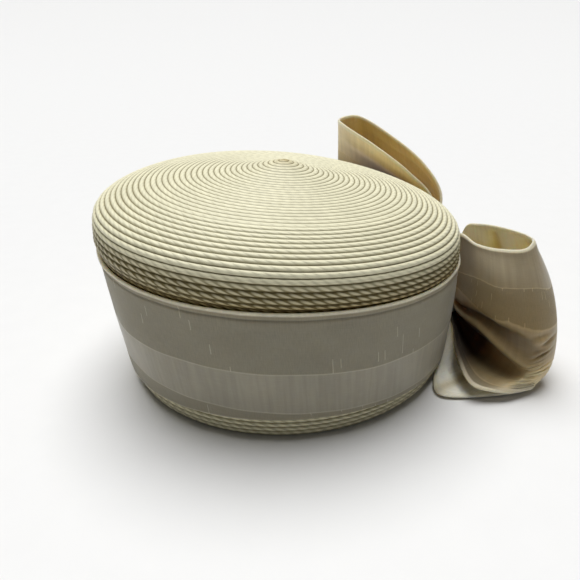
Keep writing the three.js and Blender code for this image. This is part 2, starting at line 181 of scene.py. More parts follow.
def curve_points(points, shares, centripetal):
    """Points at shares of the way along a smooth curve through the first axis of points."""
    last = len(points) - 1
    place = np.asarray(shares) * last
    index = np.clip(np.floor(place).astype(int), 0, last - 1)
    t = (place - index).reshape((-1,) + (1,) * (points.ndim - 1))
    ends = np.concatenate([[2 * points[0] - points[1]], points, [2 * points[-1] - points[-2]]])
    p0, p1, p2, p3 = (ends[index + step] for step in range(4))
    if centripetal:
        def gap(a, b):
            return np.maximum(np.linalg.norm(b - a, axis=-1, keepdims=True), 1e-9) ** 0.5

        d0, d1, d2 = gap(p0, p1), gap(p1, p2), gap(p2, p3)
        start = d1 * ((p1 - p0) / d0 - (p2 - p0) / (d0 + d1) + (p2 - p1) / d1)
        end = d1 * ((p2 - p1) / d1 - (p3 - p1) / (d1 + d2) + (p3 - p2) / d2)
    else:
        start, end = (p2 - p0) / 2, (p3 - p1) / 2
    square = 3 * (p2 - p1) - 2 * start - end
    cube = 2 * (p1 - p2) + start + end
    return p1 + t * (start + t * (square + t * cube))


def tilt_height(turn):
    return -RIM_DROP * np.cos(turn - math.radians(RIM_DROP_TURN))


def straw_radius(up):
    """Outer radius of the straw at a share of the side's height, drawn in where the band lies."""
    plain = BASE_RADIUS + (RIM_RADIUS - BASE_RADIUS) * np.minimum(up, 1)
    drawn_in = smoothstep(up, 0, 0.1) * (1 - smoothstep(up, 0.97, 1))
    return plain + SIDE_SWELL * table_value(SIDE_SHAPE, up) - BAND_SEAT * drawn_in


def hat_point(turn, radius, height, lift, inward=0.0):
    """Point of the hat at a turn about its axis; lift is the share of shift, oval and tilt."""
    away = np.angle(np.exp(1j * (turn - math.radians(LEFT_DENT_TURN))))
    dent = LEFT_DENT * np.exp(-((away / math.radians(LEFT_DENT_WIDTH)) ** 2))
    dent = dent * lift**2 * (1 - lift) * 27 / 4
    oval = BASE_OVAL + (RIM_OVAL - BASE_OVAL) * lift
    oval = oval * np.cos(2 * (turn - math.radians(OVAL_TURN)))
    waviness = RIM_WAVINESS * lift * np.cos(3 * (turn - math.radians(WAVINESS_TURN)))
    stretched = radius * (1 + oval + waviness) - dent
    return np.stack([
        stretched * np.cos(turn) + CROWN_SHIFT[0] * lift + TIP_SHIFT[0] * inward,
        stretched * np.sin(turn) + CROWN_SHIFT[1] * lift + TIP_SHIFT[1] * inward,
        height + tilt_height(turn) * lift * (1 - inward),
    ], axis=-1)


def top_profile():
    """Distance along the upper surface, radius and height, from the top of the side to the tip."""
    step = 0.00018125
    arc = np.arange(0, 2 * RIM_RADIUS, step)
    slope = np.radians(table_value(TOP_SHAPE, arc / RIM_RADIUS))
    radius = RIM_RADIUS - np.concatenate([[0], np.cumsum(step * np.cos(slope))[:-1]])
    height = SIDE_HEIGHT + np.concatenate([[0], np.cumsum(step * np.sin(slope))[:-1]])
    keep = radius > 0
    return arc[keep], radius[keep], height[keep]


TOP_ARC, TOP_RADIUS, TOP_HEIGHT = top_profile()
WHOLE_ARC = SIDE_HEIGHT + TOP_ARC[-1]


def shell_point(turn, arc, inset=0.0):
    """Point of the straw at a distance up from the lower edge, along the side and over the top."""
    turn, arc = np.broadcast_arrays(turn, np.clip(arc, 0, WHOLE_ARC))
    up = arc / SIDE_HEIGHT
    over = np.maximum(arc - SIDE_HEIGHT, 0)
    slope = np.radians(table_value(TOP_SHAPE, over / RIM_RADIUS))
    on_top = arc > SIDE_HEIGHT
    slope = np.where(on_top, slope, math.pi / 2)
    radius = np.where(on_top, np.interp(over, TOP_ARC, TOP_RADIUS), straw_radius(up))
    height = np.where(on_top, np.interp(over, TOP_ARC, TOP_HEIGHT), arc)
    inward = np.where(on_top, 1 - radius / RIM_RADIUS, 0)
    radius = np.maximum(radius - inset * np.sin(slope), 0)
    height = height - inset * np.cos(slope)
    return hat_point(turn, radius, height, np.minimum(up, 1), inward)


def shell_normal(turn, arc):
    """Outward direction of the straw's surface."""
    small = 0.0004
    upward = shell_point(turn, np.minimum(arc + small, WHOLE_ARC)) - shell_point(turn, arc - small)
    around = shell_point(turn + 0.01, arc) - shell_point(turn - 0.01, arc)
    normal = np.cross(around, upward)
    return normal / np.maximum(np.linalg.norm(normal, axis=-1, keepdims=True), 1e-12)


def band_top_height(turn):
    return BAND_TOP - BAND_TOP_DROP * np.cos(turn - math.radians(RIM_DROP_TURN))


def band_low_height(turn):
    toward_front = (1 + np.cos(turn - math.radians(BAND_LOW_TURN))) / 2
    return BAND_LOW_SIDE + (BAND_LOW_FRONT - BAND_LOW_SIDE) * toward_front**2


def on_side(turn, height, offset):
    """Point at a height above the floor, an offset out from the straw's side."""
    up = height / (SIDE_HEIGHT + tilt_height(turn))
    point = hat_point(turn, straw_radius(up) + offset, 0 * up, up)
    point[..., 2] = height
    return point


OUTWARD = np.array([math.cos(math.radians(WRAP_TURN)), math.sin(math.radians(WRAP_TURN)), 0])
FRONTWARD = np.array([OUTWARD[1], -OUTWARD[0], 0])
WRAP_MIDDLE = WRAP_FOOT + WRAP_HEIGHT / 2


def wrap_reach():
    turn = np.array(math.radians(WRAP_TURN))
    face = on_side(turn, np.array(WRAP_MIDDLE), TOUCHING_GAP + BAND_THICKNESS)
    return float(face @ OUTWARD) + TOUCHING_GAP + WRAP_DEPTH / 2


WRAP_REACH = wrap_reach()


def bow_point(along, aside, height):
    """Point of the bow: along toward the hat's front, aside away from the hat, and a height."""
    along, aside, height = np.broadcast_arrays(along, aside, height)
    flat = OUTWARD * WRAP_REACH + along[..., None] * FRONTWARD + aside[..., None] * OUTWARD
    return flat + height[..., None] * np.array([0, 0, 1.0])


def ribbon_lines(table, reach, direction):
    """Guide lines of a loop, each with its two gathered ends inside the wrap."""
    count = len(table)
    roundness = math.cos(math.pi / WRAP_SIDES)
    gather = GATHER_HEIGHT / (WRAP_HEIGHT - 2 * WRAP_THICKNESS)
    wall = (WRAP_DEPTH / 2 - WRAP_THICKNESS) * roundness * math.sqrt(1 - gather**2)
    offset = wall - TOUCHING_GAP - SILK_THICKNESS / 2
    inside = np.array([0.25, 0.54]) * WRAP_LENGTH * direction
    lines = []
    for number, rows in enumerate(table):
        height = WRAP_MIDDLE + GATHER_HEIGHT * (0.5 - number / (count - 1))
        free = bow_point(
            direction * rows[:, 0] * reach,
            rows[:, 1] * LOOP_SPREAD,
            SILK_THICKNESS / 2 + rows[:, 2] * RIBBON_WIDTH,
        )
        start = bow_point(inside, -offset, height)
        end = bow_point(inside[::-1], offset, height)
        lines.append(np.concatenate([start, free, end]))
    return np.array(lines)


# Meshes


def base_middle():
    """Middle of the straw's lower edge in the frame, in metres."""
    corners = np.array([v.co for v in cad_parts["braid_crown"].data.vertices])
    low = corners[corners[:, 2] < corners[:, 2].min() + 1e-6]
    return (low.min(axis=0) + low.max(axis=0)) / 2


BASE_MIDDLE = base_middle()


class Weave:
    """Gathers points and faces, with a place on the cloth for each face corner."""

    def __init__(self):
        self.points = []
        self.tints = {"glow_age_and_shade": [], "inside": [], "shaded": []}
        self.count = 0
        self.faces = []
        self.places = []

    def add_line(self, points, glow_age_and_shade=0.0, inside=0.0, shaded=0.0):
        """Adds points and returns their numbers.

        The first tint is warm: painted shade on the straw beside the band and on its side rows and on
        the band's upper edge, a painted glow of light through the silk of the loops, and the straw's
        own older tone at the tip. The second is paler painted light, as on a loop's inner face; the
        third is painted shade, as deep in a fold or on the side under the rim.
        """
        numbers = np.arange(self.count, self.count + len(points))
        self.points.append(points)
        for values, given in zip(self.tints.values(), (glow_age_and_shade, inside, shaded)):
            values.append(np.broadcast_to(given, len(points)))
        self.count += len(points)
        return numbers

    def strip(self, low, high, along, low_across, high_across):
        """Faces between two lines of points; one line may have several times as many points.

        along is the place along the cloth at the points of the finer line.
        """
        if len(low) == len(high):
            corners = np.stack([low[:-1], low[1:], high[1:], high[:-1]], axis=1)
            a, b = along[:-1], along[1:]
            lo, hi = (np.broadcast_to(across, len(low)) for across in (low_across, high_across))
            places = np.stack([a, lo[:-1], b, lo[1:], b, hi[1:], a, hi[:-1]], axis=1)
            self.faces.extend(corners.tolist())
            self.places.append(places.reshape(-1, 2))
            return
        swapped = len(low) < len(high)
        fine, coarse = (high, low) if swapped else (low, high)
        fine_across, coarse_across = low_across, high_across
        if swapped:
            fine_across, coarse_across = high_across, low_across
        ratio = (len(fine) - 1) // (len(coarse) - 1)
        along = np.interp(np.linspace(0, 1, len(fine)), np.linspace(0, 1, len(along)), along)
        for i in range(len(coarse) - 1):
            first = i * ratio
            half = first + ratio // 2
            for a in range(first, first + ratio):
                b, c = a + 1, i if a < half else i + 1
                self._triangle(
                    swapped,
                    (fine[a], along[a], fine_across),
                    (fine[b], along[b], fine_across),
                    (coarse[c], along[c * ratio], coarse_across),
                )
            self._triangle(
                swapped,
                (coarse[i], along[first], coarse_across),
                (fine[half], along[half], fine_across),
                (coarse[i + 1], along[first + ratio], coarse_across),
            )

    def _triangle(self, swapped, *corners):
        if swapped:
            corners = corners[::-1]
        self.faces.append([int(corner[0]) for corner in corners])
        self.places.append(np.array([corner[1:] for corner in corners], float))

    def piece(self, name, node, slot, material):
        """Makes the closed mesh, puts it in the frame and lets it stand for its solid."""
        mesh = bpy.data.meshes.new(name)
        points = np.concatenate(self.points) + BASE_MIDDLE
        mesh.from_pydata(points.tolist(), [], self.faces)
        for key, values in self.tints.items():
            tint = mesh.attributes.new(key, "FLOAT", "POINT")
            tint.data.foreach_set("value", np.concatenate(values).astype(np.float32))
        layer = mesh.uv_layers.new(name="cloth_place")
        layer.data.foreach_set("uv", np.concatenate(self.places).astype(np.float32).ravel())
        work = bmesh.new()
        work.from_mesh(mesh)
        bmesh.ops.remove_doubles(work, verts=work.verts, dist=0.00002)
        if work.calc_volume(signed=True) < 0:
            bmesh.ops.reverse_faces(work, faces=work.faces)
        for face in work.faces:
            face.smooth = True
        work.to_mesh(mesh)
        work.free()
        mesh.materials.append(material)
        piece = bpy.data.objects.new(name, mesh)
        bpy.context.scene.collection.objects.link(piece)
        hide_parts(node)
        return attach(piece, "root")


# Points round the widest rows, how many of them go to one point of an inner ring, and how many
# rings there are. SPIRAL_START is where the spiral of braid starts.
FULL_STEPS = 528
INNER_SHARE = 6
INNER_RINGS = 44
SPIRAL_START = math.radians(100)
# Share of the row's width, height above its middle as a share of the relief.
COARSE_ROW = np.array([(0, -1), (0.32, 0.75), (0.68, 0.85)])
FINE_ROW = np.array([(0, -1), (0.13, 0.1), (0.36, 0.9), (0.62, 1), (0.86, 0.35)])
HIDDEN_ROW = np.array([(0, 0)])


def is_hidden(arc):
    """Whether the row at a distance up from the lower edge lies wholly under the band."""
    return BAND_LOW_FRONT + 0.004 < arc < BAND_TOP - BAND_TOP_DROP - 0.004


def points_round(arc):
    """How many points go round the hat at a distance up from its lower edge."""
    if is_hidden(arc):
        return FULL_STEPS // 4
    radius = np.interp(arc - SIDE_HEIGHT, TOP_ARC, TOP_RADIUS)
    steps = FULL_STEPS
    while radius < RIM_RADIUS * steps / FULL_STEPS / 2 and steps > FULL_STEPS // 16:
        steps //= 2
    return steps


def row_profile(arc):
    """Lines that make up a row: more on the side and round the rim, where rows are seen end on."""
    if is_hidden(arc):
        return HIDDEN_ROW
    return FINE_ROW if arc < SIDE_HEIGHT + 0.4 * RIM_RADIUS else COARSE_ROW


def over_rim(arc, low, high):
    """Smooth step between two distances in from the rim, as shares of the rim's radius."""
    return smoothstep(arc, SIDE_HEIGHT + low * RIM_RADIUS, SIDE_HEIGHT + high * RIM_RADIUS)


def braid_mesh(sizes):
    """The spiral of sewn braid, from the lower edge to the tip, with a plain inner face."""
    pitch = sizes.row_width
    turns = int(math.ceil(WHOLE_ARC / pitch)) + 1
    weave = Weave()
    lines, along, profiles = [], [], []
    run = 0.0
    for number in range(turns):
        middle_arc = min(max((number - 0.5) * pitch, 0), WHOLE_ARC)
        profiles.append(row_profile(middle_arc))
        count = points_round(middle_arc)
        share = np.arange(count + 1) / count
        turn = SPIRAL_START + 2 * math.pi * share
        radius = np.linalg.norm(shell_point(turn, middle_arc)[:, :2], axis=1).mean()
        length = max(2 * math.pi * radius, pitch) / sizes.twist_length
        along.append(run + share * length)
        run += length
        rows = []
        for across, height in profiles[-1]:
            arc = (number - 1 + across + share[:-1]) * pitch
            points = row_points(sizes, turn[:-1], arc, along[-1][:-1], across, height)
            # Painted warm shade on the rows beside the band's upper edge, and the straw's own older tone
            # at the tip
            from_band = np.abs(points[:, 2] - band_top_height(turn[:-1]))
            glow_age_and_shade = np.exp(-from_band / 0.0028) + np.exp(-np.maximum(WHOLE_ARC - arc, 0) / 0.004)
            # Painted shade on the side rows under the rim, weaker toward the lower edge; it adds some
            # painted warm shade too
            painted_side_shade = 1 - over_rim(arc, 0.05, 0.13)
            painted_side_shade = painted_side_shade * (0.45 + 0.55 * smoothstep(arc, 0.3 * SIDE_HEIGHT, 0.6 * SIDE_HEIGHT))
            rows.append(weave.add_line(points, np.minimum(glow_age_and_shade + 0.25 * painted_side_shade, 1), 0.0, painted_side_shade))
        lines.append(rows)
    tip = weave.add_line(shell_point(np.zeros(FULL_STEPS // 16), WHOLE_ARC))
    lines.append([tip])
    for number in range(turns):
        rows, following = lines[number], lines[number + 1]
        across = list(profiles[number][:, 0]) + [1.0]
        starts = profiles[number + 1][:, 0] if number + 1 < turns else np.zeros(1)
        nearest = [int(np.abs(starts - place).argmin()) for place in profiles[number][:, 0]]
        closed = [np.append(row, following[k][0]) for row, k in zip(rows, nearest)]
        beyond = lines[number + 2][0] if number + 2 < len(lines) else tip
        closed.append(np.append(following[0], beyond[0]))
        for j in range(len(rows)):
            low_across, high_across = number + across[j], number + across[j + 1]
            weave.strip(closed[j], closed[j + 1], along[number], low_across, high_across)
    inner_face(weave, lines[0][0], pitch)
    return weave


def row_points(sizes, turn, arc, along, across, height):
    """One line of a braid row: its relief and twist, flat under the band and at the ends."""
    held = np.clip(arc, 0, WHOLE_ARC)
    phase = along + sizes.twist_slant * across
    softer = 1 - 0.7 * over_rim(arc, 0.1, 0.2)
    twist = sizes.twist_relief * softer * np.cos(2 * math.pi * phase) * (1 - (2 * across - 1) ** 2)
    flatter = 1 - 0.5 * over_rim(arc, 0.2, 0.5)
    relief = sizes.row_relief * flatter * height + twist
    points = shell_point(turn, held)
    band_low, band_top = band_low_height(turn), band_top_height(turn)
    under = smoothstep(points[:, 2], band_low - 0.001, band_low)
    under = under * (1 - smoothstep(points[:, 2], band_top - 0.0002, band_top + 0.0012))
    relief = relief * (1 - under) - 0.0002 * under
    at_tip = smoothstep(arc, WHOLE_ARC - 0.002, WHOLE_ARC)
    relief = relief * smoothstep(arc, 0, 0.0008) * (1 - at_tip)
    points = points + relief[:, None] * shell_normal(turn, held)
    points[:, 2] = np.maximum(points[:, 2], 0)
    return points


def inner_face(weave, edge, pitch):
    """Plain inner face of the straw, joined to the outer face's lower edge."""
    count = len(edge) // INNER_SHARE
    turn = SPIRAL_START + 2 * math.pi * np.arange(count) / count
    arcs = np.concatenate([[0.0], np.linspace(0.004, WHOLE_ARC - 0.004, INNER_RINGS), [WHOLE_ARC]])
    inset = STRAW_THICKNESS + BRAID_RELIEF
    length = 2 * math.pi * BASE_RADIUS / (4 * pitch)
    closed_edge = np.append(edge, edge[0])
    below, below_arc = closed_edge, -1.0
    for arc in arcs:
        depth = STRAW_THICKNESS if arc == 0 else inset
        points = shell_point(turn, np.full(count, arc), depth)
        ring = weave.add_line(points)
        ring = np.append(ring, ring[0])
        along = np.linspace(0, length, max(len(below), len(ring)))
        weave.strip(ring, below, along, arc / pitch, below_arc)
        below, below_arc = ring, arc / pitch


def edge_profile(width, hem):
    """Places across a ribbon and the share of its half thickness there, with rolled edges."""
    near = np.array([0, 0.12, 0.35, 0.7, 1.1, 1.7]) * hem
    inner = np.linspace(2.4 * hem, width - 2.4 * hem, 104)
    places = np.concatenate([near, inner, (width - near)[::-1]])
    depth = np.minimum(places, width - places)
    rounding = np.sqrt(np.clip(1 - (1 - np.minimum(depth / (0.7 * hem), 1)) ** 2, 0, 1))
    fullness = 1 + 0.35 * np.exp(-(((depth - 0.8 * hem) / (0.6 * hem)) ** 2))
    return places / width, rounding * fullness


def ribbon_loop(table, reach, direction, folds, stripes, sizes, tints):
    """Closed mesh of a doubled ribbon that runs from the wrap round its far fold and back."""
    lines = ribbon_lines(table, reach, direction)
    round_shares = np.linspace(0, 1, (lines.shape[1] - 1) * 18 + 1)
    across_shares, fullness = edge_profile(RIBBON_WIDTH, sizes.hem_width)
    curves = curve_points(lines.transpose(1, 0, 2), round_shares, True)
    grid = curve_points(curves.transpose(1, 0, 2), across_shares, False).transpose(1, 0, 2)
    u, v = round_shares[:, None], across_shares[None, :]
    grid = grid + folds(u, v)[..., None] * grid_normal(grid)
    thick = (sizes.cloth_thickness / 2 * fullness)[None, :, None] * grid_normal(grid)
    steps = np.linalg.norm(np.diff(grid[:, grid.shape[1] // 2], axis=0), axis=1)
    along = np.concatenate([[0], np.cumsum(steps)])
    places = stripe_places(stripes, round_shares, across_shares)
    weave = Weave()
    sides = []
    for side in (-1, 1):
        shell = grid + side * thick
        shell[..., 2] = np.maximum(shell[..., 2], 0.0001)
        shades = [np.broadcast_to(tint, shell.shape[:2]) for tint in tints(u, v, side == direction)]
        lines = [(shell[:, j], *(tint[:, j] for tint in shades)) for j in range(shell.shape[1])]
        sides.append([weave.add_line(*line) for line in lines])
    for j in range(len(across_shares) - 1):
        weave.strip(sides[1][j], sides[1][j + 1], along, places[:, j], places[:, j + 1])
        weave.strip(sides[0][j + 1], sides[0][j], along, places[:, j + 1], places[:, j])
    for end, first, second in ((0, 1, 0), (-1, 0, 1)):
        low = np.array([line[end] for line in sides[first]])
        high = np.array([line[end] for line in sides[second]])
        weave.strip(low, high, places[end], along[end], along[end])
    return weave


def stripe_places(stripes, round_shares, across_shares):
    """Distance from the ribbon's upper edge, where the first two stripe edges lie at given shares."""
    rows = []
    for share in round_shares:
        first, second = (np.interp(share, stripes[:, 0], stripes[:, column]) for column in (1, 2))
        marks = [0, first, second, 0.905, 1]
        edges = [0, SATIN_STRIPES[0][1], SATIN_STRIPES[1][0], SATIN_STRIPES[1][1], RIBBON_WIDTH]
        rows.append(np.interp(across_shares, marks, edges))
    return np.array(rows)


def grid_normal(grid):
    along = np.gradient(grid, axis=0)
    across = np.gradient(grid, axis=1)
    normal = np.cross(along, across)
    return normal / np.maximum(np.linalg.norm(normal, axis=-1, keepdims=True), 1e-12)


def gather_fade(u, start, end):
    """1 on the free part of a loop, 0 in the wrap."""
    return 1 - smoothstep(np.abs(2 * u - 1), start, end)


# Share of the way round the front loop, and the shares across where its two stripe edges lie.
FRONT_STRIPES = np.array([
    (0, 0.30, 0.5), (0.18, 0.30, 0.37), (0.27, 0.265, 0.385), (0.35, 0.235, 0.36),
    (0.44, 0.215, 0.39), (0.5, 0.215, 0.41), (0.7, 0.26, 0.55), (1, 0.30, 0.62),
])
REAR_STRIPES = np.array([(0, 0.30, 0.62), (1, 0.30, 0.62)])
# Share of the way round; share across of the pleat's edge and of the narrow ridge below it; how
# strong the pleat is; depth of the hollow below the ridge in metres; and how dark the painted
# shade in the hollow is.
FRONT_FOLDS = np.array([
    (0.12, 0.455, 0.500, 0.00, 0.0000, 1.0),
    (0.17, 0.450, 0.495, 0.75, 0.0010, 1.0),
    (0.21, 0.430, 0.482, 1.00, 0.0035, 1.0),
    (0.26, 0.405, 0.468, 1.00, 0.0060, 0.95),
    (0.30, 0.390, 0.466, 1.00, 0.0060, 0.5),
    (0.34, 0.388, 0.488, 0.90, 0.0050, 0.27),
    (0.38, 0.400, 0.535, 0.65, 0.0038, 0.15),
    (0.42, 0.430, 0.600, 0.40, 0.0020, 0.1),
    (0.46, 0.530, 0.680, 0.15, 0.0005, 0.05),
    (0.49, 0.600, 0.750, 0.00, 0.0000, 0.0),
])


def front_fold_row(u):
    """Edge, ridge, strength, hollow depth and the hollow's painted shade at a share of the way round."""
    return [np.interp(u, FRONT_FOLDS[:, 0], FRONT_FOLDS[:, column]) for column in range(1, 6)]


def across_values(u, v, row_marks):
    """Values over a grid, from marks across the ribbon that change along it."""
    return np.array([np.interp(v[0], *row_marks(float(share))) for share in u[:, 0]])


def front_folds(sizes):
    """A pleat that fans out from the wrap, the hollow under it, and puckers along the far fold."""
    def row_marks(u):
        edge, ridge, strength, hollow, _ = front_fold_row(u)
        pleat = sizes.pleat_depth * strength
        span = 0.96 - ridge
        marks = [
            edge - 0.16, edge - 0.08, edge - 0.012, edge + 0.008, (edge + ridge) / 2, ridge - 0.012,
            ridge + 0.004, ridge + 0.035, ridge + 0.3 * span, ridge + 0.6 * span, 0.96,
        ]
        offsets = [
            0, -0.12 * pleat, -0.4 * pleat, 0.75 * pleat, 0.45 * pleat, -0.35 * pleat,
            -0.45 * pleat, 0.5 * hollow, hollow, 0.7 * hollow, 0.0,
        ]
        return marks, offsets

    def folds(u, v):
        free = gather_fade(u, 0.68, 0.84)
        far_side = free * smoothstep(u, 0.52, 0.6)
        depth = across_values(u, v, row_marks)
        depth[1:-1] = (depth[:-2] + 2 * depth[1:-1] + depth[2:]) / 4
        depth[:, 1:-1] = (depth[:, :-2] + 2 * depth[:, 1:-1] + depth[:, 2:]) / 4
        depth = depth * free
        at_mouth = smoothstep(v, 0.015, 0.07) * (1 - smoothstep(v, 0.15, 0.45))
        mouth = (
            1.1 * bump_at(u, 0.615, 0.014) - 0.7 * bump_at(u, 0.655, 0.018)
            + 0.6 * bump_at(u, 0.7, 0.02) + 0.3 * bump_at(u, 0.575, 0.015))
        room = smoothstep(u, 0.7, 0.79) * (1 - smoothstep(u, 0.87, 0.93)) * bump_at(v, 0.68, 0.2)
        far_pleat = 0.9 * bump_at(v, 0.4, 0.05) - 0.5 * bump_at(v, 0.5, 0.04)
        far_pleat = far_pleat - 0.75 * mouth * at_mouth - 1.5 * room
        depth = depth + far_side * sizes.pleat_depth * far_pleat
        puckers = (
            np.sin(2 * math.pi * (17 * v + 3.0 * u))
            * (0.6 + 0.4 * np.sin(2 * math.pi * (3.7 * v + 0.6)))
            + 0.5 * np.sin(2 * math.pi * (27 * v - 5.0 * u + 0.3)))
        lower = smoothstep(v, 0.36, 0.44) * (1 - smoothstep(v, 0.95, 1.0))
        by_fold = bump_at(u, 0.437 + 0.02 * np.sin(29 * v), 0.026)
        depth = depth + sizes.pucker_depth * puckers * by_fold * lower
        rays = np.sin(2 * math.pi * (6.3 * v + 1.2 * u))
        rays = rays * smoothstep(v, 0.58, 0.7) * bump_at(u, 0.38, 0.07)
        drape = np.sin(2 * math.pi * (1.3 * v + 2.1 * u + 0.2))
        drape = drape * np.sin(2 * math.pi * (2.3 * u + 0.7 * v))
        return depth + sizes.pucker_depth * (0.35 * drape + 0.7 * rays) * free
    return folds


def front_tints(u, v, lining):
    """Painted warm glow below the pleat, painted shade in it and in the hollow, paler painted light by the
    far fold and inside.
    """
    def row_marks(u):
        edge, ridge, strength, _, dark = front_fold_row(u)
        marks = [
            edge - 0.02, edge + 0.004, (edge + ridge) / 2,
            ridge - 0.012, ridge + 0.012, ridge + 0.05, 0.9, 1,
        ]
        # Painted shade: dark just under the pleat's edge, fading toward the ridge, and dark from below the
        # ridge to the lower edge as in the hollow
        shades = [0, 0.9 * strength, 0.6 * strength, 0.1 * strength, 0.15 * dark, dark, dark, dark]
        return marks, shades

    if lining:
        # Painted shade with a warm glow along soft folds of the inner face
        painted_crease_shade = (bump_at(u, 0.69, 0.022) + 0.5 * bump_at(u, 0.6, 0.02)) * smoothstep(v, 0.02, 0.09)
        # A painted warm glow across the middle of the inner face
        middle = smoothstep(v, 0.12, 0.3) * (1 - smoothstep(v, 0.6, 0.8))
        # Painted shade along the inner face's lower edge near the wrap, as dark as the hollow beside it
        painted_edge_shade = smoothstep(v, 0.88, 0.96) * (u < 0.5)
        painted_edge_shade = np.minimum(1.6 * across_values(u, v, row_marks), 1) * painted_edge_shade
        # A painted glow, paler painted light over the whole inner face, and painted shade
        return 0.15 + 0.35 * painted_crease_shade + 0.5 * middle, 1.0, np.maximum(0.3 * painted_crease_shade, painted_edge_shade)
    # A painted warm glow, stronger from a third of the way across down to near the lower edge
    glow_age_and_shade = 0.4 + 0.55 * smoothstep(v, 0.14, 0.38) * (1 - smoothstep(v, 0.85, 1.0))
    # Paler painted light, with the puckers' painted highlights, by the far fold
    pale = 0.6 * smoothstep(v, 0.5, 0.75) * smoothstep(u, 0.36, 0.44)
    near_side = 1 - smoothstep(u, 0.47, 0.5)
    # Painted shade of the pleat and the hollow, on the near layer only
    return glow_age_and_shade, pale, across_values(u, v, row_marks) * near_side


def rear_tints(u, v, lining):
    """Painted golden glow, paler painted light inside and along the upper edge of the near layer, and
    painted shade toward the wrap.
    """
    if lining:
        # Inner face: a painted golden glow, paler painted light, and light painted shade away from the
        # upper edge
        return 0.85, 0.62, 0.2 * smoothstep(v, 0.02, 0.2)
    # Outer face: painted shade toward the wrap, a painted golden glow, and paler painted light along the
    # upper edge
    painted_wrap_shade = smoothstep(0.47 - u, 0.0, 0.16) * (u < 0.5)
    return 0.9, 0.8 * (1 - smoothstep(v, 0.15, 0.6)), 0.85 * painted_wrap_shade * smoothstep(v, 0.06, 0.24)


def rear_folds(sizes):
    """Soft pleats of the rear loop."""
    def folds(u, v):
        free = gather_fade(u, 0.65, 0.82)
        from_fold = smoothstep(np.abs(2 * u - 1), 0.05, 0.35)
        pleats = (
            0.43 * bump_at(v, 0.35, 0.09)
            - 0.43 * bump_at(v, 0.55, 0.09)
            + 0.43 * bump_at(v, 0.75, 0.09)
            + 0.25 * bump_at(v, 0.15, 0.04)
        )
        drape = np.sin(2 * math.pi * (1.1 * v + 1.6 * u)) * np.sin(2 * math.pi * (1.9 * u + 0.1))
        depth = sizes.pleat_depth * pleats * free * from_fold
        return depth + 0.3 * sizes.pucker_depth * drape * free
    return folds


def band_mesh(sizes):
    """The band round the side, with a rolled upper edge, a sewn line below it and soft waves."""
    count = 384
    turn = 2 * math.pi * np.arange(count) / count
    low, high = band_low_height(turn), band_top_height(turn)
    thickness = BAND_THICKNESS
    outer, middle = TOUCHING_GAP + thickness, TOUCHING_GAP + thickness / 2
    # Lines below the upper edge, as shares of the sewn line's distance from it
    top_lines = np.array([0.0066, 0.0056, 0.0047, 0.0041, 0.0036, 0.0031, 0.0025, 0.0018])
    section = [(0.0, 0.0, TOUCHING_GAP), (0.0, 0.0003, middle - 0.0001), (0.0, 0.0008, outer)]
    section += [(share, 0.0, outer) for share in np.linspace(0, 0.86, 34)[1:]]
    section += [(1.0, -below, outer) for below in top_lines * sizes.seam_below_edge / 0.0036]
    roll = sizes.roll_depth
    for angle in np.linspace(-50, 200, 9):
        radians = math.radians(angle)
        offset = TOUCHING_GAP + roll * (1 + math.cos(radians))
        section.append((1.0, roll * (math.sin(radians) - 1), offset))
    section += [(share, 0.0, TOUCHING_GAP) for share in np.linspace(0.95, 0.1, 10)]
    weave = Weave()
    rings = []
    places = []
    for share, lift, offset in section:
        height = low + (high - low) * share + lift
        from_top = high - height
        wave = (
            np.sin(5 * turn + 0.8) * np.sin(math.pi * share) * 0.5
            + np.sin(11 * turn + 4 * share) * np.sin(math.pi * share) * 0.3
            + np.sin(23 * turn - 9 * share) * 0.12
        )
        seam = -bump_at(from_top, sizes.seam_below_edge, 0.0005)
        extra = (sizes.wave_depth * (wave + 0.4) + sizes.seam_depth * seam) * (offset > middle)
        points = on_side(turn, height, offset + np.maximum(extra, -0.5 * thickness))
        shade = 0.3 * bump_at(from_top, sizes.seam_below_edge, 0.0004) * (offset > middle)
        # Painted warm shade along the band's upper edge, under the braid
        rings.append(weave.add_line(points, 0.35 * bump_at(from_top, 0, 0.004), 0.0, shade))
        # The roll is placed on the ribbon's hem, so it takes the painted highlight of the rolled edges
        on_roll = from_top < 2 * roll
        place = np.maximum(BAND_FOLD + from_top, SATIN_STRIPES[0][1] + 0.0008)
        place = np.minimum(place, RIBBON_WIDTH - np.minimum(height - low + 0.0012, 0.0035))
        places.append(np.where(on_roll, 0.0012 + 0.9 * from_top, place))
    around = np.linspace(0, 2 * math.pi * RIM_RADIUS, count + 1)
    for j, ring in enumerate(rings):
        following = (j + 1) % len(rings)
        closed = [np.append(line, line[0]) for line in (ring, rings[following])]
        across = [np.append(places[k], places[k][0]) for k in (j, following)]
        weave.strip(closed[0], closed[1], around, across[0], across[1])
    return weave


